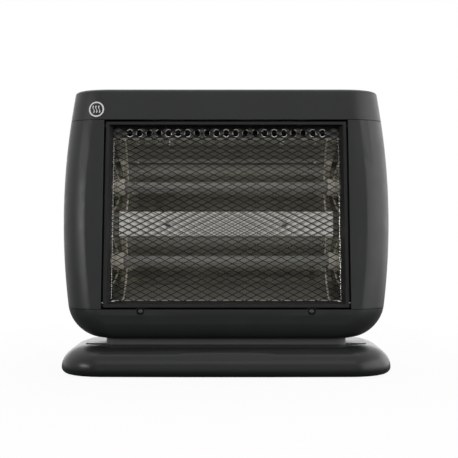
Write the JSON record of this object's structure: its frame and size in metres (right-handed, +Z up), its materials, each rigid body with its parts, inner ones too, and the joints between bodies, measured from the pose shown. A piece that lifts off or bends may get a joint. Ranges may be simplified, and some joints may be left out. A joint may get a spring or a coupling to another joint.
{
  "type": "quartz heater",
  "caption": "Compact quartz heater: tubes in a double parabolic reflector behind an expanded-metal guard, in a dark casing on a pillow-shaped base.",
  "frame": {"origin": "on the floor under the middle of the base", "axes": "+X to the heater's left-hand side as seen from the rear (right in the front view), +Y to the rear, +Z up; the guard faces -Y"},
  "size_m": [0.3338, 0.15, 0.2891],
  "materials": {
    "casing_plastic": "fine satin moulding",
    "base_plastic": "fine satin moulding",
    "under_plastic": "matt moulding",
    "foot_rubber": "matt",
    "guard_black": "satin black coating",
    "reflector_metal": "bright rolled and polished",
    "shield_steel": "galvanised",
    "quartz": "milky drawn tube",
    "heating_wire": "oxidised",
    "ceramic": "unglazed",
    "stud_brass": "plain",
    "screw_steel": "zinc plated",
    "screw_black": "blackened",
    "spring_steel": "bright wire",
    "switch_plastic": "gloss",
    "block_plastic": "natural",
    "gland_rubber": "matt",
    "plunger_plastic": "natural",
    "cutout_metal": "plain",
    "print_white": "pad-printed ink"
  },
  "bodies": {
    "heater": {"top_cap": "casing_plastic", "side_panel_left": "casing_plastic", "side_panel_right": "casing_plastic", "bottom_cap": "casing_plastic", "rear_cover": "casing_plastic", "base_shell": "base_plastic", "base_plate": "under_plastic", "rubber_feet": "foot_rubber", "guard_frame": "guard_black", "guard_mesh": "guard_black", "guard_screws": "screw_black", "reflector": "reflector_metal", "reflector_side_left": "reflector_metal", "reflector_side_right": "reflector_metal", "heat_shield": "shield_steel", "reflector_screws": "screw_steel", "quartz_tube_upper": "quartz", "quartz_tube_lower": "quartz", "heating_coil_upper": "heating_wire", "heating_coil_lower": "heating_wire", "end_cap_upper_left": "ceramic", "end_cap_upper_right": "ceramic", "end_cap_lower_left": "ceramic", "end_cap_lower_right": "ceramic", "terminal_studs": "stud_brass", "thermal_cutout": "cutout_metal", "terminal_block": "block_plastic", "cord_gland": "gland_rubber", "switch_frame_left": "switch_plastic", "switch_frame_right": "switch_plastic", "plunger_spring": "spring_steel", "plunger_guide": "under_plastic", "tip_switch": "under_plastic", "rear_screws": "screw_steel", "base_screws": "screw_steel", "neck_screws": "screw_steel"},
    "rocker_left": {"rocker_left": "switch_plastic"},
    "rocker_right": {"rocker_right": "switch_plastic"},
    "tip_plunger": {"tip_plunger": "plunger_plastic"}
  },
  "joints": [
    {"name": "rocker_left_hinge", "type": "hinge", "parent": "heater", "child": "rocker_left", "pos_m": [0.0855, 0.018, 0.2832], "axis": [1, 0, 0], "range_deg": [-20, 0]},
    {"name": "rocker_right_hinge", "type": "hinge", "parent": "heater", "child": "rocker_right", "pos_m": [0.1085, 0.018, 0.2832], "axis": [1, 0, 0], "range_deg": [-20, 0]},
    {"name": "tip_plunger_slide", "type": "slide", "parent": "heater", "child": "tip_plunger", "axis": [0, 0, 1], "range_m": [-0.005, 0], "stiffness_N_per_m": 80, "springref_m": -0.01, "deforming": ["plunger_spring"]}
  ]
}
